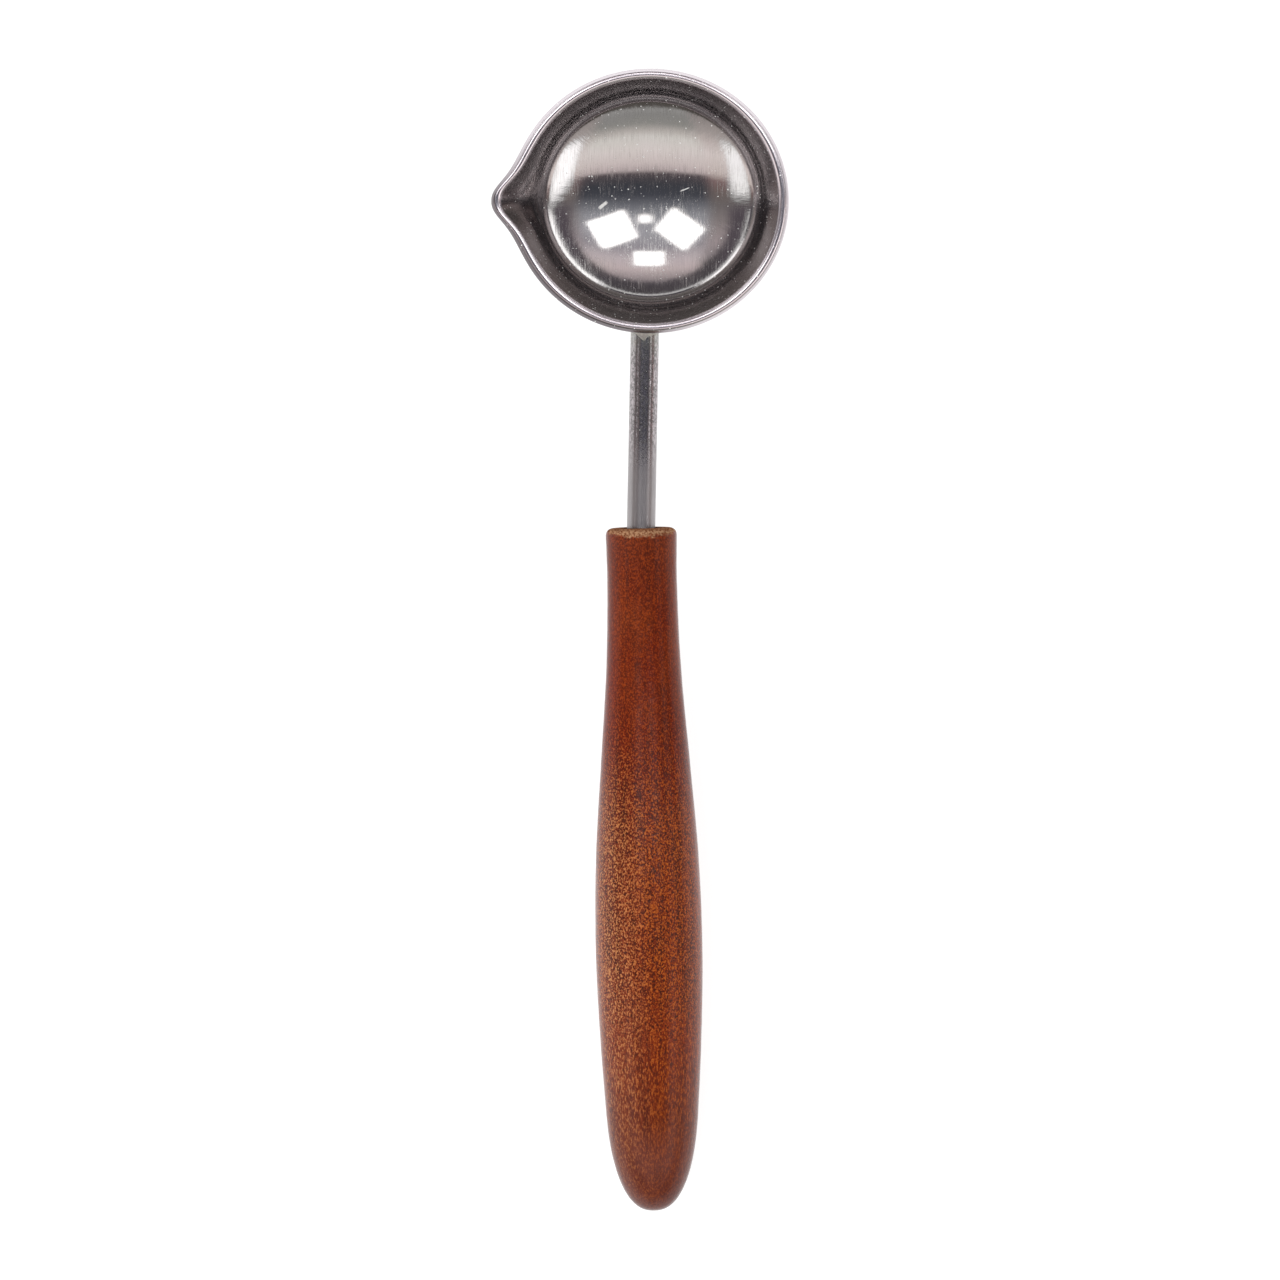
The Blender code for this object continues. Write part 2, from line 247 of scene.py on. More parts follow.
def solid(name, grid, pose, ring=False):
    """A closed mesh from a grid of points in the object's own axes, placed by the pose inside the CAD's box.

    Without ring, the first and last rows each shrink to a point.  Each vertex keeps its own-axes
    place, in millimetres, as the attribute "place", which the materials draw their patterns on.
    """
    rows, columns = grid.shape[:2]
    points = grid.reshape(-1, 3)
    if ring:
        faces = grid_faces(rows, columns, True).tolist()
    else:
        middle = points[columns:-columns]
        points = np.concatenate([points[:1], middle, points[-1:]])
        faces = (grid_faces(rows - 2, columns, False) + 1).tolist()
        last = len(points) - 1
        around = np.arange(columns)
        beyond = (around + 1) % columns
        faces += np.stack([np.zeros_like(around), beyond + 1, around + 1], -1).tolist()
        top = last - columns
        faces += np.stack([np.full_like(around, last), top + around, top + beyond], -1).tolist()
    matrix = np.array(pose)
    world = np.clip(points @ matrix[:3, :3].T + matrix[:3, 3], CAD_LOW, CAD_HIGH)
    mesh = bpy.data.meshes.new(name)
    mesh.from_pydata(world.tolist(), [], faces)
    place = mesh.attributes.new("place", "FLOAT_VECTOR", "POINT")
    place.data.foreach_set("vector", (points * 1000).astype(np.float32).ravel())
    turn_outwards(mesh)
    mesh.shade_smooth()
    obj = bpy.data.objects.new(name, mesh)
    bpy.context.scene.collection.objects.link(obj)
    return obj


def turn_outwards(mesh):
    bm = bmesh.new()
    bm.from_mesh(mesh)
    if bm.calc_volume(signed=True) < 0:
        bmesh.ops.reverse_faces(bm, faces=bm.faces)
    bm.to_mesh(mesh)
    bm.free()


def revolve(along, radius, segments):
    """Grid of a surface turned around -Z, from distances along it and radii."""
    angle = 2 * math.pi * np.arange(segments) / segments
    along, radius = np.asarray(along)[:, None], np.asarray(radius)[:, None]
    return np.stack(
        [radius * np.cos(angle), radius * np.sin(angle), -along + 0 * angle],
        -1,
    )


# ---------------------------------------------------------------------------------------------
# Where things lie
# ---------------------------------------------------------------------------------------------
def pose_at(slope):
    """Where the bowl's axes lie when the spoon leans by this slope with its flat spot on the table."""
    outer_curve = DISH_CURVE + SHEET
    centre_height = math.sqrt(outer_curve**2 - REST_SPOT_RADIUS**2)
    lean = Matrix.Rotation(slope, 4, "X")
    return Matrix.Translation((0, 0, centre_height)) @ lean @ Matrix.Translation((0, 0, -outer_curve))


def level_way(lean):
    """Unit vector along -Y in the bowl's axes, leaning towards +X by this angle."""
    return Vector((math.sin(lean), -math.cos(lean), 0))


def hung(start, way):
    """Axes at start whose -Z points this way and whose +Y points upwards."""
    return Matrix.Translation(start) @ (-way).to_track_quat("Z", "Y").to_matrix().to_4x4()


def resting_slope(mouth):
    """The slope at which the handle just touches the table."""
    stations = np.linspace(0, HANDLE_LENGTH, 201)
    radii = handle_radius(stations)
    axis = np.array(mouth) + stations[:, None] * np.array(level_way(HANDLE_LEAN))
    low, high = 0.0, math.radians(15)
    for _ in range(40):
        middle = (low + high) / 2
        pose = np.array(pose_at(middle))
        heights = axis @ pose[2, :3] + pose[2, 3] - radii * math.cos(middle)
        if heights.min() > 0:
            low = middle
        else:
            high = middle
    return low


ROD_HEIGHT = BOWL_HEIGHT - ROD_BELOW_RIM
WALL_DISTANCE = OVAL_Y * float(outer_radius(ROD_HEIGHT))
ROD_WAY, HANDLE_WAY = level_way(ROD_LEAN), level_way(HANDLE_LEAN)
WALL_POINT = Vector((ROD_SIDE_OFFSET, -WALL_DISTANCE, ROD_HEIGHT))
MOUTH = WALL_POINT + ROD_WAY * ((MOUTH_DISTANCE - WALL_DISTANCE) / -ROD_WAY.y)
REST = pose_at(resting_slope(MOUTH))


# ---------------------------------------------------------------------------------------------
# Pieces
# ---------------------------------------------------------------------------------------------
def bowl_piece():
    outline = sheet_outline()
    radius, height = outline[:, 0, None], outline[:, 1, None]
    angle = 2 * math.pi * np.arange(BOWL_SEGMENTS) / BOWL_SEGMENTS - math.pi
    angle = angle - SPOUT_BUNCHING * np.sin(angle)
    across = 1 / np.cosh((np.abs(angle) / SPOUT_HALF_ANGLE) ** SPOUT_SHARPNESS)
    up = np.clip((height - SPOUT_FOOT) / (BOWL_HEIGHT - SPOUT_FOOT), 0, None)
    pulled = radius + SPOUT_REACH * across * up
    x = -pulled * np.cos(angle) * OVAL_X
    y = pulled * np.sin(angle) * OVAL_Y
    grid = np.stack([x, y, height + 0 * x], -1)

    # The press leaves the sheet very slightly wavy, and the weld's heat marks the inside of the wall.
    flat = grid * (1, 1, 0.3)
    wave = value_noise(flat, 0.006, 1) + 0.5 * value_noise(flat, 0.0027, 2)
    inwards = np.stack([-x, -y, 0 * x], -1) / np.maximum(np.hypot(x, y), 1e-6)[..., None]
    steep = np.clip((height - DISH_TOP) / (WALL_FOOT_HEIGHT - DISH_TOP), 0, 1)
    away = np.hypot(x - ROD_SIDE_OFFSET, height - ROD_HEIGHT + 0 * x)
    near_wall = (y < 0) & (np.arange(len(outline))[:, None] < len(outline) // 2)
    witness = np.where(near_wall, bump(away - WITNESS_RADIUS, 0.0003) - 0.6 * bump(away, 0.0010), 0)
    shift = inwards * ((SHEET_WAVE * 0.5 * wave + WITNESS_DEPTH * witness) * steep)[..., None]
    shift[..., 2] += (SHEET_WAVE * wave * (1 - steep)) * np.clip(np.hypot(x, y) / 0.001, 0, 1)
    fade = np.clip((BOWL_HEIGHT - height) / 0.002, 0, 1)
    grid = grid + shift * fade[..., None]
    return solid("pressed_bowl", grid, REST)


def rod_piece():
    bend_start = MOUTH - ROD_WAY * ROD_BEND_LENGTH
    tang_end = MOUTH + HANDLE_WAY * TANG_LENGTH
    span = (bend_start - WALL_POINT).length
    angle = 2 * math.pi * np.arange(ROD_SEGMENTS) / ROD_SEGMENTS
    side, up = np.array(ROD_WAY.cross(Vector((0, 0, 1)))), np.array((0, 0, 1))
    ring = np.cos(angle)[:, None] * side + np.sin(angle)[:, None] * up

    def row(centre, radius):
        return np.array(centre) + ring * radius

    # The first row follows the wall that the rod is welded to.
    start = row(WALL_POINT, ROD_RADIUS)
    wall = outer_radius(start[:, 2])
    reach = np.sqrt(wall**2 - (start[:, 0] / OVAL_X) ** 2) * OVAL_Y + CLEARANCE
    step = (-reach - start[:, 1]) / ROD_WAY.y
    start = start + step[:, None] * np.array(ROD_WAY)
    rows = [np.repeat(start.mean(0)[None], ROD_SEGMENTS, 0), start]
    first = float(step.max()) + 0.0004
    for d in np.linspace(first, span, 120):
        rows.append(row(WALL_POINT + ROD_WAY * float(d), ROD_RADIUS))
    for t in np.linspace(0, 1, 12)[1:]:
        rows.append(row(bend_start.lerp(MOUTH, float(t)), ROD_RADIUS))
    for d in np.linspace(0, TANG_LENGTH - TANG_CHAMFER, 30)[1:]:
        rows.append(row(MOUTH + HANDLE_WAY * float(d), ROD_RADIUS))
    rows.append(row(tang_end, ROD_RADIUS - TANG_CHAMFER))
    rows.append(np.repeat(np.array(tang_end)[None], ROD_SEGMENTS, 0))
    grid = np.array(rows)
    fine = value_noise(grid, 0.0005, 5)
    centre = grid.mean(1, keepdims=True)
    outward = grid - centre
    length = np.maximum(np.linalg.norm(outward, axis=-1, keepdims=True), 1e-6)
    shift = -ROD_WAVE * (1 + fine)[..., None] * outward / length
    shift[:2] = 0
    shift[-1] = 0
    return solid("shank_rod_drawn", grid + shift, REST)


def weld_piece():
    """A rippled fillet around the end of the rod, with a tongue drawn out along the top."""
    angle = 2 * math.pi * np.arange(WELD_SEGMENTS) / WELD_SEGMENTS
    inner = ROD_RADIUS + CLEARANCE
    ripple = WELD_RIPPLE * np.sin(17 * angle + 1.5 * np.sin(2 * angle))
    around = np.stack([np.cos(angle), np.sin(angle), 0 * angle], -1)
    lumps = value_noise(around * 0.004, 0.0023, 9)
    toe = WELD_RADIUS - inner - 0.0001 + WELD_LUMPS * lumps
    tongue = WELD_TONGUE * bump(angle - 1.45, 0.28)
    reach = WELD_REACH - 0.00025 + WELD_SPREAD * lumps + ripple + tongue
    axes = np.array(hung(WALL_POINT, ROD_WAY))

    def seat(radius):
        """Distance along the rod at which a point at this radius meets the wall."""
        start = np.stack([radius * np.cos(angle), radius * np.sin(angle), 0 * angle], -1)
        start = start @ axes[:3, :3].T + axes[:3, 3]
        wall = outer_radius(start[:, 2])
        reach_y = np.sqrt(wall**2 - (start[:, 0] / OVAL_X) ** 2) * OVAL_Y + CLEARANCE
        return (-reach_y - start[:, 1]) / ROD_WAY.y

    rows = []
    steps = 14
    headroom = ROD_BELOW_RIM - LIP_BEND - LIP_DROP - CLEARANCE
    most = np.where(np.sin(angle) > 0.5, headroom / np.maximum(np.sin(angle), 0.5), 1.0)
    for k in range(steps + 1):
        a = math.pi / 2 * k / steps
        radius = np.minimum(inner + 0.00004 + (toe + ripple) * (1 - math.sin(a)), most)
        base = seat(radius)
        along = base + 0.00006 + reach * (1 - math.cos(a))
        rows.append((radius, along))
    rows.append((inner + 0 * angle, rows[-1][1] - 0.00003))
    rows.append((inner + 0 * angle, seat(inner + 0 * angle)))
    rows.append((rows[0][0] - 0.00002, seat(rows[0][0] - 0.00002)))
    grid = np.array(
        [np.stack([r * np.cos(angle), r * np.sin(angle), -s], -1) for r, s in rows]
    )
    return solid("weld_bead_fused", grid, REST @ hung(WALL_POINT, ROD_WAY), ring=True)


def handle_piece():
    mouth = MOUTH_ROUNDING * (1 - np.cos(np.linspace(0, math.pi / 2, 14)))
    body = np.linspace(MOUTH_ROUNDING, BUTT_START, 330)[1:]
    butt = BUTT_START + (HANDLE_LENGTH - BUTT_START) * np.sin(np.linspace(0, math.pi / 2, 56))[1:]
    outside = np.concatenate([mouth, body, butt])
    face = np.linspace(BORE_RADIUS + BORE_CHAMFER, handle_radius(0.0), 12)[:-1]
    bore = np.linspace(BORE_DEPTH, BORE_CHAMFER, 20)
    along = np.concatenate([[BORE_DEPTH], bore, 0 * face, outside])
    radius = np.concatenate([[0], 0 * bore + BORE_RADIUS, face, handle_radius(outside)])
    grid = revolve(along, radius, HANDLE_SEGMENTS)

    # Sanding by hand leaves the turned shape slightly uneven, and the grain leaves open pores.
    skin_rows = np.zeros(len(along))
    skin_rows[-len(outside):] = 1
    fade = skin_rows * np.clip(along / 0.001, 0, 1) * np.clip((HANDLE_LENGTH - along) / 0.002, 0, 1)
    uneven = 0.5 + 0.5 * value_noise(grid * (1, 1, 0.25), 0.006, 21)
    pores = value_noise(grid * (1, 1, 0.55), 0.00042, 22) + 0.6 * value_noise(grid * (1, 1, 0.4), 0.0009, 23)
    depth = HAND_WOBBLE * uneven + PORE_DEPTH * np.clip(0.55 + 0.6 * pores, 0, 1.6)
    level = np.maximum(np.hypot(grid[..., 0], grid[..., 1]), 1e-6)
    grid[..., :2] *= (1 - depth * fade[:, None] / level)[..., None]
    return solid("turned_handle", grid, REST @ hung(MOUTH, HANDLE_WAY))


def glue_piece():
    inner, outer = ROD_RADIUS + CLEARANCE, BORE_RADIUS - CLEARANCE
    top = np.linspace(0, math.pi, 13)
    middle, half = (inner + outer) / 2, (outer - inner) / 2
    meniscus_radius = middle - half * np.cos(top)
    meniscus_along = GLUE_RECESS + MENISCUS * np.sin(top) - 0.0001
    walls = np.linspace(GLUE_RECESS, TANG_LENGTH, 12)
    bottom = BORE_DEPTH - CLEARANCE
    along = np.concatenate(
        [[TANG_LENGTH + CLEARANCE] * 2, walls[::-1][1:], meniscus_along[1:-1], walls, [bottom, bottom]]
    )
    radius = np.concatenate(
        [[0, inner], inner + 0 * walls[1:], meniscus_radius[1:-1], outer + 0 * walls, [outer, 0]]
    )
    return solid("glue_ring", revolve(along, radius, GLUE_SEGMENTS), REST @ hung(MOUTH, HANDLE_WAY))


# ---------------------------------------------------------------------------------------------
# Node building
# ---------------------------------------------------------------------------------------------
class Nodes:
    """Short ways to build one node tree.  Wherever a value is taken, a socket will do too."""

    def __init__(self, tree):
        self.tree = tree
        tree.nodes.clear()

    def add(self, kind, inputs=(), **settings):
        node = self.tree.nodes.new(kind)
        for key, value in settings.items():
            setattr(node, key, value)
        for key, value in dict(inputs).items():
            self.put(value, node.inputs[key])
        return node

    def put(self, value, socket):
        if isinstance(value, bpy.types.NodeSocket):
            self.tree.links.new(value, socket)
        else:
            socket.default_value = value

    def math(self, operation, *values):
        return self.add("ShaderNodeMath", enumerate(values), operation=operation).outputs[0]

    def most(self, *values):
        result = values[0]
        for value in values[1:]:
            result = self.math("MAXIMUM", result, value)
        return result

    def total(self, *values):
        result = values[0]
        for value in values[1:]:
            result = self.math("ADD", result, value)
        return result

    def product(self, *values):
        result = values[0]
        for value in values[1:]:
            result = self.math("MULTIPLY", result, value)
        return result

    def step(self, value, low, high, at_low=0.0, at_high=1.0):
        """Goes smoothly from at_low to at_high as the value goes from low to high."""
        inputs = enumerate((value, low, high, at_low, at_high))
        return self.add("ShaderNodeMapRange", inputs, interpolation_type="SMOOTHSTEP").outputs[0]

    def band(self, value, low, high, soft):
        """One between low and high, and nothing outside, with edges this soft."""
        rise = self.step(value, low - soft, low + soft)
        return self.math("MULTIPLY", rise, self.step(value, high - soft, high + soft, 1.0, 0.0))

    def mix(self, share, first, second):
        node = self.add("ShaderNodeMix", data_type="RGBA")
        for value, socket in zip((share, first, second), (node.inputs[0], node.inputs[6], node.inputs[7])):
            if isinstance(value, tuple):
                value = (*value[:3], 1)
            self.put(value, socket)
        return node.outputs[2]

    def ramp(self, value, stops):
        """Colour from (value, colour) stops, in straight stretches."""
        low, high = stops[0][0], stops[-1][0]
        share = self.math("DIVIDE", self.math("SUBTRACT", value, low), high - low)
        node = self.add("ShaderNodeValToRGB", {0: share})
        elements = node.color_ramp.elements
        while len(elements) < len(stops):
            elements.new(0.5)
        for element, (at, colour) in zip(elements, stops):
            element.position = (at - low) / (high - low)
            element.color = (*colour, 1) if isinstance(colour, tuple) else (colour, colour, colour, 1)
        return node.outputs[0]

    def parts(self, vector):
        """The vector's x, y and z."""
        return self.add("ShaderNodeSeparateXYZ", {0: vector}).outputs

    def grey(self, level):
        return self.add("ShaderNodeCombineColor", {0: level, 1: level, 2: level}).outputs[0]

    def length(self, x, y):
        return self.math("SQRT", self.total(self.product(x, x), self.product(y, y)))

    def stretched(self, vector, x, y, z):
        """The vector with its parts multiplied by x, y and z."""
        node = self.add("ShaderNodeVectorMath", {0: vector, 1: (x, y, z)}, operation="MULTIPLY")
        return node.outputs[0]

    def noise(self, vector, scale, detail=2.0, roughness=0.5):
        inputs = {"Vector": vector, "Scale": scale, "Detail": detail, "Roughness": roughness}
        return self.add("ShaderNodeTexNoise", inputs).outputs[0]

    def cells(self, vector, scale, wanted="Distance"):
        return self.add("ShaderNodeTexVoronoi", {"Vector": vector, "Scale": scale}).outputs[wanted]

    def bump(self, height, depth, normal=None):
        """Surface normals for a height field this deep, in metres."""
        inputs = {"Height": height, "Distance": depth, "Strength": 1.0}
        if normal is not None:
            inputs["Normal"] = normal
        return self.add("ShaderNodeBump", inputs).outputs[0]

    def surface(self, **inputs):
        """A Principled surface as the material's output.  Input names are written with underscores."""
        named = {key.replace("_", " "): value for key, value in inputs.items()}
        shader = self.add("ShaderNodeBsdfPrincipled", named)
        self.add("ShaderNodeOutputMaterial", {"Surface": shader.outputs[0]})


def new_material(name):
    material = bpy.data.materials.new(name)
    material.use_nodes = True
    return material, Nodes(material.node_tree)


def own_place(nodes):
    """The place in the piece's own axes, in millimetres."""
    return nodes.add("ShaderNodeAttribute", attribute_name="place").outputs["Vector"]


# ---------------------------------------------------------------------------------------------
# Materials
# ---------------------------------------------------------------------------------------------
def turned_place(nodes, x, y, centre, angle):
    """Distances from the centre along and across a direction at this many degrees from x."""
    cos, sin = math.cos(math.radians(angle)), math.sin(math.radians(angle))
    dx, dy = nodes.math("SUBTRACT", x, centre[0]), nodes.math("SUBTRACT", y, centre[1])
    along = nodes.total(nodes.product(dx, cos), nodes.product(dy, sin))
    across = nodes.total(nodes.product(dy, cos), nodes.product(dx, -sin))
    return along, across


def scratch(nodes, x, y, centre, angle, length, width):
    """A short straight mark in the dish, in millimetres."""
    along, across = turned_place(nodes, x, y, centre, angle)
    inside = nodes.band(along, -length / 2, length / 2, length / 5)
    return nodes.math("MULTIPLY", inside, nodes.band(across, -width / 2, width / 2, width / 3))


def specks(nodes, place, scale, share, size):
    """Small round spots in this share of the cells of a Voronoi pattern."""
    distance = nodes.cells(place, scale)
    chosen = nodes.add("ShaderNodeSeparateColor", {0: nodes.cells(place, scale, "Color")}).outputs
    picked = nodes.math("LESS_THAN", chosen[0], share)
    radius = nodes.product(chosen[1], size)
    return nodes.math("MULTIPLY", picked, nodes.math("LESS_THAN", distance, radius))


def dust_and_marks(nodes, place, x, y, smears):
    """Where dust and two small scratches lie in the bowl: only on what faces up."""
    fine, coarse = specks(nodes, place, 2.2, 0.30, 0.24), specks(nodes, place, 1.0, 0.45, 0.12)
    dust = nodes.product(nodes.most(coarse, fine), nodes.step(smears, 0.3, 0.6, 0.35, 1.0))
    marks = nodes.most(
        scratch(nodes, x, y, (-6.6, -0.9), 38, 1.3, 0.40),
        scratch(nodes, x, y, (4.9, 1.3), 22, 1.2, 0.12),
    )
    facing_z = nodes.parts(nodes.add("ShaderNodeNewGeometry").outputs["Normal"])[2]
    return nodes.product(nodes.most(dust, marks), nodes.step(facing_z, -0.05, 0.10))


def with_lip_highlight_and_shade(nodes, colour, place, from_axis):
    """The colour with a painted highlight on the top of the lip, and on its outer side a painted highlight
    that turns to painted shade towards -X -Y.
    """
    x, y, z = nodes.parts(place)
    facing_x, facing_y, _ = nodes.parts(nodes.add("ShaderNodeNewGeometry").outputs["Normal"])
    centre_height = 1000 * LIP_CENTRE_HEIGHT
    top = nodes.step(z, centre_height, 1000 * BOWL_HEIGHT - 0.2)
    outwards = nodes.total(nodes.product(facing_x, x), nodes.product(facing_y, y))
    outside = nodes.product(
        nodes.step(z, centre_height - 1.2, centre_height - 0.8),
        nodes.step(nodes.math("DIVIDE", outwards, from_axis), 0.05, 0.45),
    )
    # The lip's bright colour is a painted highlight; the dark colour on its outer side towards -X -Y is
    # painted shade.
    bright = (0.67, 0.62, 0.65)
    lit = nodes.step(nodes.total(x, y), -25.0, -6.0)
    colour = nodes.mix(top, colour, bright)
    return nodes.mix(outside, colour, nodes.mix(lit, (0.20, 0.18, 0.19), bright))


def polished_steel():
    """Brushed lengthwise and buffed, with press marks round the dish and a satin wall."""
    material, nodes = new_material("polished_steel")
    place = own_place(nodes)
    x, y, _ = nodes.parts(place)
    from_axis = nodes.length(x, y)
    brushed = nodes.noise(nodes.stretched(place, 1, 0.02, 0), 6.0, 3.0, 0.65)
    fine = nodes.noise(nodes.stretched(place, 1, 0.03, 0), 13.0, 2.0, 0.6)
    smears = nodes.noise(place, 0.35, 3.0, 0.55)
    wall = nodes.step(from_axis, 1000 * DISH_EDGE_RADIUS, 1000 * DISH_EDGE_RADIUS + 1.8)
    dish = nodes.math("SUBTRACT", 1.0, wall)

    lines = nodes.product(nodes.step(fine, 0.36, 0.62), dish, 0.30)
    colour = nodes.mix(smears, (0.53, 0.505, 0.515), (0.49, 0.48, 0.465))
    colour = nodes.mix(lines, colour, (0.36, 0.35, 0.345))
    colour = nodes.mix(nodes.product(wall, 0.45), colour, (0.31, 0.265, 0.275))
    colour = with_lip_highlight_and_shade(nodes, colour, place, from_axis)

    haze = nodes.product(nodes.step(fine, 0.50, 0.66), nodes.step(smears, 0.3, 0.7, 0.4, 0.9), dish)
    roughness = nodes.total(
        0.03,
        nodes.product(brushed, 0.06),
        nodes.product(haze, 0.24),
        nodes.product(wall, 0.13),
    )

    # Press marks run outwards near the dish's edge, and brush lines along the spoon in all of the dish.
    around = nodes.product(nodes.math("ARCTAN2", y, x), 14.0)
    radial = nodes.add("ShaderNodeCombineXYZ", {0: around, 1: nodes.product(from_axis, 0.22)}).outputs[0]
    pressed = nodes.product(nodes.noise(radial, 1.7, 3.0, 0.6), nodes.step(from_axis, 8.5, 13.0), dish)
    brush_lines = nodes.total(nodes.product(brushed, 0.7), nodes.product(fine, 0.3))
    normal = nodes.bump(pressed, 0.000016)
    normal = nodes.bump(nodes.product(brush_lines, dish), 0.000004, normal)

    dust = dust_and_marks(nodes, place, x, y, smears)
    nodes.surface(
        Base_Color=nodes.mix(dust, colour, (0.92, 0.92, 0.90)),
        Metallic=nodes.math("SUBTRACT", 1.0, dust),
        Roughness=nodes.most(roughness, nodes.product(dust, 0.7)),
        Normal=normal,
    )
    return material


def drawn_steel():
    """Steel rod: fine lengthwise drawing lines, and a pitted skin towards the weld."""
    material, nodes = new_material("drawn_steel")
    place = own_place(nodes)
    y = nodes.parts(place)[1]
    drawn = nodes.noise(nodes.stretched(place, 1, 0.05, 1), 7.0, 3.0, 0.6)
    grains = nodes.noise(nodes.stretched(place, 1, 0.7, 1), 2.6, 4.0, 0.7)
    near_bowl = nodes.step(y, -40.0, -31.0)
    heat = nodes.step(y, -23.0, -17.6)
    pits = nodes.product(nodes.step(grains, 0.44, 0.58), near_bowl)
    flecks = nodes.product(nodes.step(grains, 0.66, 0.70), near_bowl)

    bare = nodes.mix(nodes.step(drawn, 0.35, 0.65), (0.50, 0.455, 0.47), (0.36, 0.325, 0.34))
    dull = nodes.mix(0.7, bare, (0.28, 0.27, 0.27))
    pitted = nodes.mix(pits, nodes.mix(near_bowl, dull, bare), (0.20, 0.19, 0.19))
    heat_tint = nodes.mix(nodes.noise(place, 0.9, 2.0), (0.46, 0.44, 0.35), (0.36, 0.40, 0.42))
    colour = nodes.mix(nodes.product(heat, 0.55), pitted, heat_tint)
    colour = nodes.mix(flecks, colour, (0.75, 0.75, 0.72))
    roughness = nodes.total(
        0.09,
        nodes.product(drawn, 0.06),
        nodes.product(nodes.math("SUBTRACT", 1.0, near_bowl), 0.20),
        nodes.product(pits, 0.10),
        nodes.product(flecks, 0.4),
    )
    normal = nodes.bump(grains, nodes.product(near_bowl, 0.000014))
    nodes.surface(
        Base_Color=colour,
        Metallic=1.0,
        Roughness=roughness,
        Normal=nodes.bump(drawn, 0.000004, normal),
    )
    return material


def weld_metal():
    """Dull oxide in patches, with a little straw colour and a pitted skin."""
    material, nodes = new_material("weld_metal")
    place = own_place(nodes)
    scale = nodes.noise(place, 2.2, 4.0, 0.6)
    oxide = nodes.mix(nodes.step(scale, 0.40, 0.60), (0.42, 0.42, 0.39), (0.30, 0.29, 0.30))
    straw = nodes.mix(nodes.noise(place, 0.8), oxide, (0.44, 0.42, 0.37))
    nodes.surface(
        Base_Color=straw,
        Metallic=1.0,
        Roughness=nodes.total(0.22, nodes.product(scale, 0.3)),
        Normal=nodes.bump(nodes.noise(place, 6.0, 3.0), 0.00002),
    )
    return material


def stained_wood_colour(nodes, place, along):
    """The stain without its speckle: orange in the thick part, red-brown at both ends, with streaks."""
    stain = nodes.ramp(
        along,
        (
            (0, (0.140, 0.024, 0.008)),
            (12, (0.128, 0.010, 0.001)),
            (36, (0.132, 0.008, 0.001)),
            (52, (0.205, 0.021, 0.001)),
            (72, (0.190, 0.020, 0.001)),
            (84, (0.145, 0.020, 0.003)),
            (93, (0.118, 0.024, 0.013)),
            (96, (0.110, 0.035, 0.027)),
        ),
    )
    streaks = nodes.noise(nodes.stretched(place, 1, 1, 0.07), 0.85, 4.0, 0.6)
    clouds = nodes.noise(nodes.stretched(place, 1, 1, 0.6), 0.16, 2.0)
    stain = nodes.mix(nodes.step(streaks, 0.42, 0.66, 0.0, 0.6), stain, (0.080, 0.010, 0.003))
    return nodes.mix(nodes.step(clouds, 0.45, 0.75, 0.0, 0.4), stain, (0.23, 0.045, 0.008))


def speckled_with_glints(nodes, colour, grain, along, across, up):
    """The colour with dark pores and pale flecks, the flecks being painted glints of the coat; both are
    strongest on top of the thick part.
    """
    thick = nodes.step(along, 18.0, 45.0, 0.55, 1.0)
    # Painted light: the pale flecks are strongest on top, where the coat's glints face the lights overhead.
    on_top = nodes.step(up, 0.5, 4.5, 0.45, 1.0)
    strength = nodes.product(thick, nodes.step(along, 66.0, 92.0, 1.0, 0.30), on_top)
    pale = nodes.product(nodes.step(grain, 0.51, 0.59), strength, 0.85)
    dark = nodes.product(nodes.step(grain, 0.41, 0.50, 1.0, 0.0), strength, 0.95)
    # Painted sheen: on the +X side the flecks turn paler and greyer, from the light on that side.
    side_sheen = nodes.product(nodes.step(across, -1.0, 5.5), nodes.step(along, 26.0, 46.0))
    glint_colour = nodes.mix(nodes.step(along, 20.0, 46.0), (0.36, 0.062, 0.006), (0.46, 0.110, 0.010))
    glint_colour = nodes.mix(side_sheen, glint_colour, (0.56, 0.245, 0.080))
    return nodes.mix(dark, nodes.mix(pale, colour, glint_colour), (0.036, 0.008, 0.002))


def bare_and_highlight_share(nodes, place, along, up):
    """One where the mouth is worn to bare end grain; the band reaches furthest back on top, which is a
    painted highlight on the rounded shoulder.
    """
    edge = nodes.noise(place, 1.6, 3.0)
    band_reach = nodes.total(
        0.30,
        # Painted highlight: the band reaches further back the higher it lies on the rounding.
        nodes.product(nodes.math("MAXIMUM", up, 0.0), 0.16),
        nodes.product(nodes.math("SUBTRACT", edge, 0.5), 1.4),
    )
    return nodes.step(nodes.math("SUBTRACT", along, band_reach), -0.25, 0.25, 1.0, 0.0)


def worn_mouth_and_rod_shade(nodes, colour, bare, place, along, from_axis):
    """The colour with end grain where the mouth is bare, and painted shade around the rod where it enters
    the wood.
    """
    rings = nodes.step(nodes.noise(nodes.stretched(place, 1, 0.5, 1), 3.4, 3.0, 0.65), 0.35, 0.62)
    pale_end = nodes.mix(nodes.step(along, 0.05, 0.45), (0.30, 0.155, 0.075), (0.50, 0.29, 0.16))
    end_grain = nodes.mix(rings, (0.13, 0.040, 0.016), pale_end)
    # Painted shade: the end grain darkens close around the rod, at the front of the mouth.
    rod_shade = nodes.product(nodes.step(from_axis, 2.5, 3.4, 1.0, 0.0), nodes.step(along, 0.1, 0.6, 1.0, 0.0))
    colour = nodes.mix(nodes.product(bare, 0.80), colour, end_grain)
    return nodes.mix(nodes.product(rod_shade, 0.9), colour, (0.03, 0.012, 0.008))


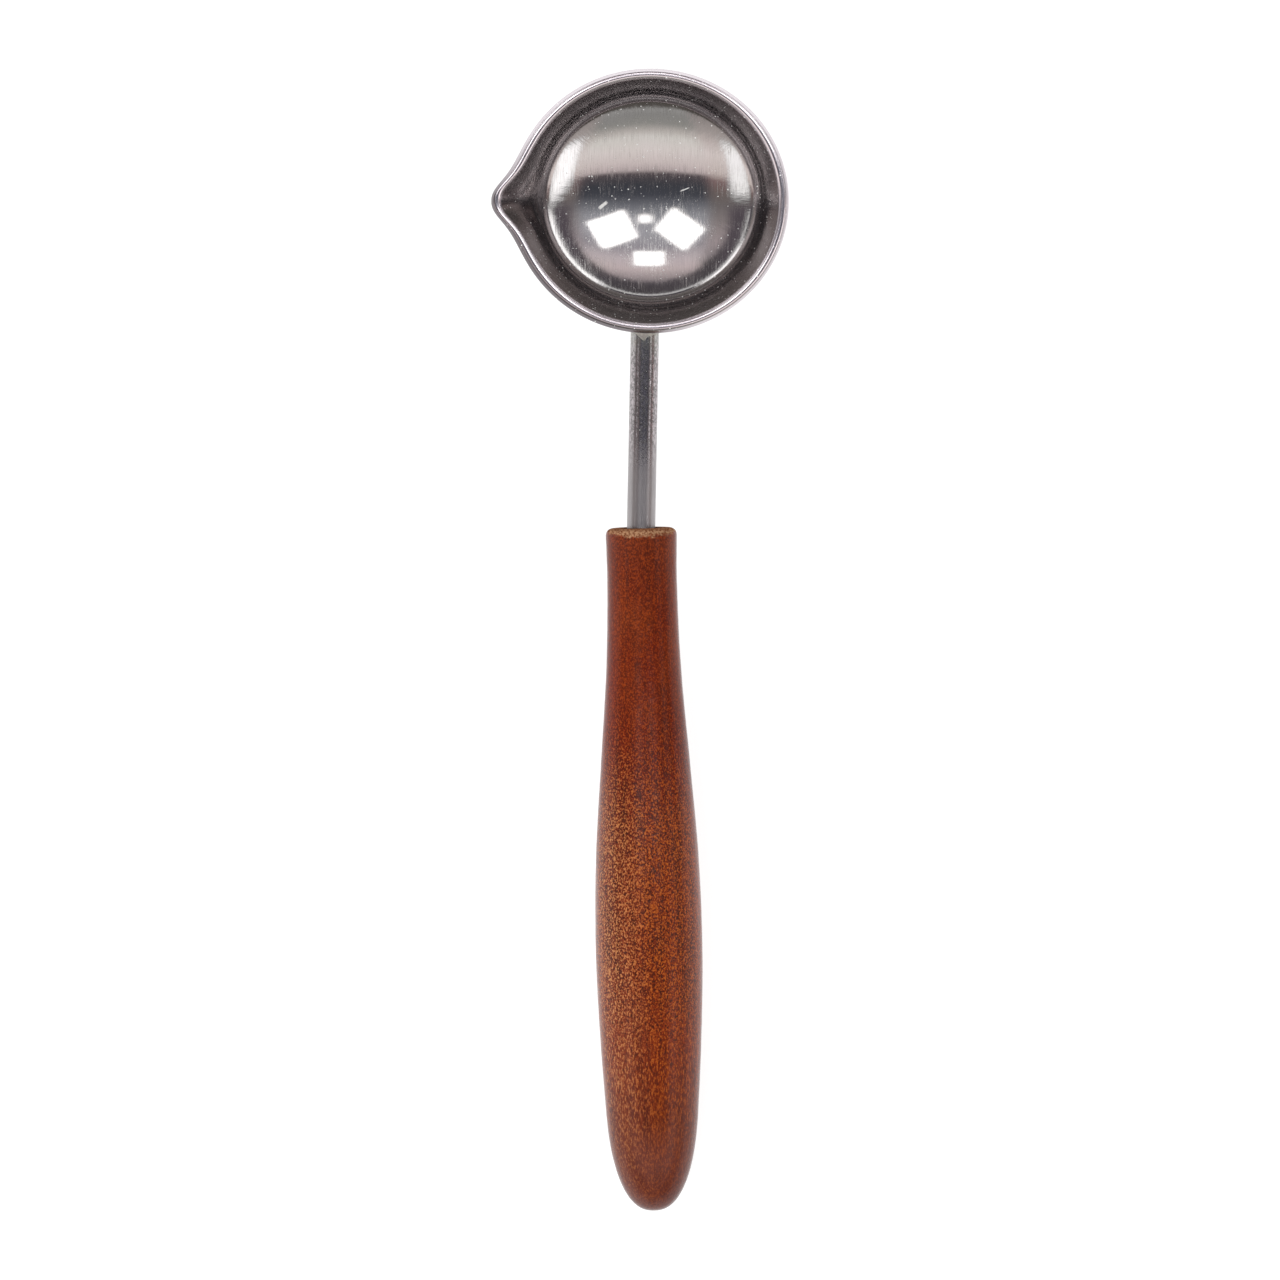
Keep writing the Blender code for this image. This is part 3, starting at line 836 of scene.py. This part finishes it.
def stained_hardwood():
    """Dark red stain over open-grained wood under a clear coat, worn to bare end grain at the mouth, with
    painted glints, a painted sheen on one side, and painted highlight and shade at the mouth.

    The handle's own -Z runs from its mouth to its butt and its +Y faces up.
    """
    material, nodes = new_material("stained_hardwood")
    place = own_place(nodes)
    x, y, z = nodes.parts(place)
    along = nodes.math("MULTIPLY", z, -1.0)

    # The grain is round in the thick part and drawn out towards the butt.
    towards_butt = nodes.step(along, 60.0, 84.0)
    round_grain = nodes.noise(nodes.stretched(place, 1, 1, 0.75), 4.4, 3.0, 0.7)
    long_grain = nodes.noise(nodes.stretched(place, 1, 1, 0.30), 5.0, 3.0, 0.7)
    grain = nodes.total(
        nodes.product(round_grain, nodes.math("SUBTRACT", 1.0, towards_butt)),
        nodes.product(long_grain, towards_butt),
    )
    fibres = nodes.noise(nodes.stretched(place, 1, 1, 0.11), 3.4, 3.0, 0.6)
    # Bare end grain at the mouth, with a painted highlight where it reaches further back on top.
    bare = bare_and_highlight_share(nodes, place, along, y)
    colour = speckled_with_glints(nodes, stained_wood_colour(nodes, place, along), grain, along, x, y)
    colour = nodes.mix(nodes.step(fibres, 0.50, 0.70, 0.0, 0.35), colour, (0.085, 0.014, 0.005))

    rub = nodes.noise(nodes.stretched(place, 1, 1, 0.4), 0.5, 3.0)
    relief = nodes.product(nodes.step(along, 18.0, 45.0, 0.55, 1.0), 0.00003)
    nodes.surface(
        Base_Color=worn_mouth_and_rod_shade(nodes, colour, bare, place, along, nodes.length(x, y)),
        Roughness=nodes.total(0.40, nodes.product(fibres, 0.2)),
        Specular_IOR_Level=0.0,
        Coat_Weight=nodes.step(bare, 0.0, 1.0, 1.0, 0.15),
        Coat_IOR=nodes.step(along, 22.0, 46.0, 1.25, 1.35),
        Coat_Roughness=nodes.total(0.15, nodes.product(rub, 0.14), nodes.product(bare, 0.4)),
        Coat_Tint=(1.0, 0.96, 0.98, 1),
        Normal=nodes.bump(grain, 0.00005),
        Coat_Normal=nodes.bump(grain, relief),
    )
    return material


def clear_glue():
    """Cured glue, cloudy yellow in the shadow of the mouth."""
    material, nodes = new_material("clear_glue")
    place = own_place(nodes)
    cloud = nodes.noise(place, 1.4, 2.0)
    nodes.surface(
        Base_Color=nodes.mix(cloud, (0.62, 0.50, 0.30), (0.36, 0.26, 0.13)),
        Roughness=nodes.total(0.15, nodes.product(cloud, 0.2)),
        Normal=nodes.bump(nodes.noise(place, 3.0), 0.00002),
    )
    return material


def table_top():
    """Plain white table that also glows, as under a light tent, so that it shows hardly any shadow."""
    material, nodes = new_material("table_top")
    glow = nodes.add("ShaderNodeEmission", {"Color": (1, 1, 1, 1), "Strength": TABLE_GLOW})
    paint = nodes.add("ShaderNodeBsdfDiffuse", {"Color": (TABLE_PAINT, TABLE_PAINT, TABLE_PAINT, 1)})
    lit = nodes.add("ShaderNodeAddShader", {0: glow.outputs[0], 1: paint.outputs[0]})
    clear = nodes.add("ShaderNodeBsdfTransparent")
    back = nodes.add("ShaderNodeNewGeometry").outputs["Backfacing"]
    shown = nodes.add("ShaderNodeMixShader", {0: back, 1: lit.outputs[0], 2: clear.outputs[0]})
    nodes.add("ShaderNodeOutputMaterial", {"Surface": shown.outputs[0]})
    return material


# ---------------------------------------------------------------------------------------------
# Stage
# ---------------------------------------------------------------------------------------------
TABLE_GLOW = 0.85
TABLE_PAINT = 0.30
TABLE_SIZE = 4.0
TABLE_DROP = 0.0001
STUDIO_LEVEL = 1.25
FILL_LIGHT = 0.85
FILL_LEAN = 0.28
WEST_WALL = 0.9
EAST_WALL = 0.9
NORTH_WALL = 1.1
LAMP_DISTANCE = 1.5
LAMP_SIZE = 0.9
LAMP_POWER = 6.0
CAMERA_HEIGHT = 3.0
CAMERA_OVER = (-0.0014, -0.0609)
PICTURE_WIDTH = 0.1792
SENSOR = 36.0

# The ceiling as (angle, colour), in degrees from straight up towards +Y: overhead, and off to the sides.
MIDDLE_SKY = (
    (-90, (0.50, 0.50, 0.45)),
    (-78, (0.42, 0.42, 0.37)),
    (-73, (0.10, 0.09, 0.08)),
    (-62, (0.12, 0.11, 0.10)),
    (-60.5, (0.45, 0.45, 0.44)),
    (-57, (0.36, 0.36, 0.35)),
    (-51, (0.38, 0.38, 0.36)),
    (-46, (0.72, 0.68, 0.64)),
    (-42, (0.97, 0.95, 0.90)),
    (-34, (1.02, 0.95, 0.92)),
    (-26, (0.91, 0.81, 0.79)),
    (-21.2, (0.72, 0.62, 0.62)),
    (-19.2, (0.12, 0.10, 0.11)),
    (-12, (0.065, 0.07, 0.085)),
    (-6, (0.08, 0.085, 0.105)),
    (1, (0.23, 0.24, 0.27)),
    (8, (0.42, 0.43, 0.47)),
    (18, (0.50, 0.50, 0.54)),
    (26, (0.42, 0.40, 0.44)),
    (34, (0.76, 0.68, 0.70)),
    (40, (0.78, 0.67, 0.67)),
    (45.5, (0.50, 0.43, 0.44)),
    (49.5, (0.13, 0.12, 0.14)),
    (52, (0.11, 0.10, 0.10)),
    (90, (0.11, 0.10, 0.10)),
)
SIDE_SKY = (
    (-90, (0.50, 0.50, 0.45)),
    (-78, (0.42, 0.42, 0.37)),
    (-73, (0.10, 0.09, 0.08)),
    (-62, (0.10, 0.09, 0.08)),
    (-59.5, (0.42, 0.38, 0.37)),
    (-50, (0.55, 0.50, 0.48)),
    (-44, (0.78, 0.70, 0.67)),
    (-36, (1.00, 0.91, 0.88)),
    (-23, (0.84, 0.74, 0.70)),
    (-17, (0.30, 0.20, 0.20)),
    (-8, (0.22, 0.18, 0.17)),
    (1, (0.22, 0.20, 0.20)),
    (12, (0.34, 0.30, 0.30)),
    (26, (0.50, 0.43, 0.44)),
    (36, (0.36, 0.32, 0.33)),
    (40, (0.16, 0.15, 0.15)),
    (90, (0.14, 0.12, 0.13)),
)
# Soft boxes as (centre, size, turn, level): two large ones, a strip beyond them and a small one between.
SOFT_BOXES = (
    ((-17.0, 15.3), (24.0, 17.0), -39, 3.0),
    ((21.5, 16.0), (24.0, 18.0), 24, 3.0),
    ((0.5, 33.0), (18.5, 9.0), 0, 3.0),
    ((2.7, 8.2), (7.5, 5.0), 0, 2.4),
)
# Low lights as (nearest and furthest angle from straight up, first and last heading from +Y, level).
ARC_LIGHTS = ((60.0, 71.0, -66.0, -30.0, 1.7), (55.5, 66.0, 28.0, 86.0, 1.8))


def soft_box(nodes, ax, ay, centre, size, turn):
    """A rectangle of light overhead.  Angles are degrees from straight up, towards +X and +Y."""
    along, across = turned_place(nodes, ax, ay, centre, turn)
    return nodes.product(
        nodes.band(along, -size[0] / 2, size[0] / 2, 1.6),
        nodes.band(across, -size[1] / 2, size[1] / 2, 1.6),
    )


def ceiling(nodes, ax, ay, from_top):
    """The dark ceiling and the bright panel behind the camera, darker low down beyond the soft boxes."""
    off_middle = nodes.math("ABSOLUTE", nodes.math("SUBTRACT", ax, 4.0))
    middle, sides = nodes.ramp(ay, MIDDLE_SKY), nodes.ramp(ay, SIDE_SKY)
    sky = nodes.mix(nodes.step(off_middle, 32.0, 42.0), middle, sides)
    beyond = nodes.product(nodes.step(from_top, 46.5, 50.0), nodes.step(ay, 2.0, 12.0), 0.9)
    sky = nodes.mix(beyond, sky, (0.09, 0.08, 0.09))
    far_out = nodes.step(nodes.math("ABSOLUTE", ax), 41.0, 48.0)
    return nodes.mix(nodes.product(far_out, nodes.step(ay, -4.0, 6.0), 0.85), sky, (0.12, 0.10, 0.12))


def low_lights(nodes, ay, from_top, heading):
    """A thin bright line around the +Y sky, and two lights that draw arcs on the foot of the near wall."""
    light = nodes.product(nodes.band(from_top, 56.0, 60.0, 1.0), nodes.step(ay, 2.0, 12.0), 0.8)
    for near, far, first, last, level in ARC_LIGHTS:
        ring, stretch = nodes.band(from_top, near, far, 1.5), nodes.band(heading, first, last, 9.0)
        light = nodes.most(light, nodes.product(ring, stretch, level))
    return light


def windows(nodes, ax, ay):
    """Tall windows on both sides, from behind the camera's head to above the spoon."""
    low_end = nodes.step(ay, -54.0, -42.0)
    left_end = nodes.step(ay, -17.0, 3.0, 1.0, 0.0)
    left = nodes.product(nodes.band(ax, -58.0, -46.0, 3.0), left_end, low_end, 1.4)
    slant = nodes.math("SUBTRACT", ay, nodes.product(nodes.math("SUBTRACT", ax, 57.0), 1.6))
    right_end = nodes.step(slant, -10.0, 12.0, 1.0, 0.0)
    right = nodes.product(nodes.band(ax, 44.0, 58.0, 3.0), right_end, low_end, 1.7)
    return nodes.most(left, right)


def bright_walls(nodes, ax, ay):
    """Bright walls down to the table on three sides."""
    west = nodes.step(ax, -95.0, -58.0, WEST_WALL, 0.0)
    east = nodes.step(ax, 66.0, 110.0, 0.0, EAST_WALL)
    north = nodes.step(ay, 75.0, 81.0, 0.0, NORTH_WALL)
    return nodes.most(north, west, east)


def studio():
    """The room as polished metal shows it: a dark ceiling with soft boxes, and bright side walls.

    It lights dull surfaces evenly, and the camera sees it as plain white.
    """
    world = bpy.data.worlds.new("studio")
    world.use_nodes = True
    nodes = Nodes(world.node_tree)
    x, y, z = nodes.parts(nodes.add("ShaderNodeTexCoord").outputs["Generated"])
    ax = nodes.math("DEGREES", nodes.math("ARCTAN2", x, z))
    ay = nodes.math("DEGREES", nodes.math("ARCTAN2", y, z))
    from_top = nodes.math("DEGREES", nodes.math("ARCCOSINE", z))
    heading = nodes.math("DEGREES", nodes.math("ARCTAN2", x, y))

    light = nodes.most(low_lights(nodes, ay, from_top, heading), windows(nodes, ax, ay))
    for centre, size, turn, level in SOFT_BOXES:
        light = nodes.most(light, nodes.product(soft_box(nodes, ax, ay, centre, size, turn), level))
    light = nodes.most(light, bright_walls(nodes, ax, ay))

    lighter = nodes.add("ShaderNodeMix", data_type="RGBA", blend_type="LIGHTEN")
    lighter.clamp_result = False
    nodes.put(1.0, lighter.inputs[0])
    nodes.put(ceiling(nodes, ax, ay, from_top), lighter.inputs[6])
    nodes.put(nodes.grey(light), lighter.inputs[7])
    scaled = {0: lighter.outputs[2], "Scale": STUDIO_LEVEL}
    shown = nodes.add("ShaderNodeVectorMath", scaled, operation="SCALE").outputs[0]

    ray = nodes.add("ShaderNodeLightPath").outputs
    fill = nodes.grey(nodes.total(FILL_LIGHT, nodes.product(x, -FILL_LEAN)))
    seen = nodes.mix(ray["Is Diffuse Ray"], shown, fill)
    seen = nodes.mix(ray["Is Camera Ray"], seen, (1.0, 1.0, 1.0))
    background = nodes.add("ShaderNodeBackground", {"Color": seen, "Strength": 1.0})
    nodes.add("ShaderNodeOutputWorld", {"Surface": background.outputs[0]})
    bpy.context.scene.world = world


def table():
    mesh = bpy.data.meshes.new("table")
    half = TABLE_SIZE / 2
    corners = [(-half, -half, 0), (half, -half, 0), (half, half, 0), (-half, half, 0)]
    mesh.from_pydata(corners, [], [(0, 1, 2, 3)])
    mesh.materials.append(table_top())
    top = bpy.data.objects.new("table", mesh)
    top.location.z = -TABLE_DROP
    bpy.context.scene.collection.objects.link(top)
    return top


def key_lamp():
    """A large lamp up to the left, for dull surfaces only: metal shows the studio instead."""
    data = bpy.data.lights.new("key_lamp", "AREA")
    data.shape = "DISK"
    data.size = LAMP_SIZE
    data.energy = LAMP_POWER
    lamp = bpy.data.objects.new("key_lamp", data)
    lamp.location = Vector((-0.45, -0.35, 1.0)).normalized() * LAMP_DISTANCE
    lamp.rotation_euler = lamp.location.to_track_quat("Z", "Y").to_euler()
    lamp.visible_glossy = False
    bpy.context.scene.collection.objects.link(lamp)


def camera():
    """Straight down from far above, with the handle at the bottom of the picture."""
    data = bpy.data.cameras.new("camera")
    data.sensor_width = SENSOR
    data.lens = SENSOR * CAMERA_HEIGHT / PICTURE_WIDTH
    data.clip_start, data.clip_end = 0.1, 10.0
    obj = bpy.data.objects.new("camera", data)
    obj.location = (*CAMERA_OVER, CAD_HIGH.z + CAMERA_HEIGHT)
    bpy.context.scene.collection.objects.link(obj)
    bpy.context.scene.camera = obj


# ---------------------------------------------------------------------------------------------
# Scene
# ---------------------------------------------------------------------------------------------
def add_piece(obj, node, material):
    """Puts a finished piece in place of the CAD node it stands for."""
    obj.data.materials.append(material)
    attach(obj, "root")
    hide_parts(node)


def main():
    scene = bpy.context.scene
    scene.view_settings.view_transform = "Standard"
    scene.cycles.max_bounces = scene.cycles.glossy_bounces = 24

    add_piece(bowl_piece(), "bowl", polished_steel())
    add_piece(rod_piece(), "shank_rod", drawn_steel())
    add_piece(weld_piece(), "weld_bead", weld_metal())
    add_piece(handle_piece(), "handle", stained_hardwood())
    add_piece(glue_piece(), "adhesive", clear_glue())

    table()
    key_lamp()
    studio()
    camera()


main()
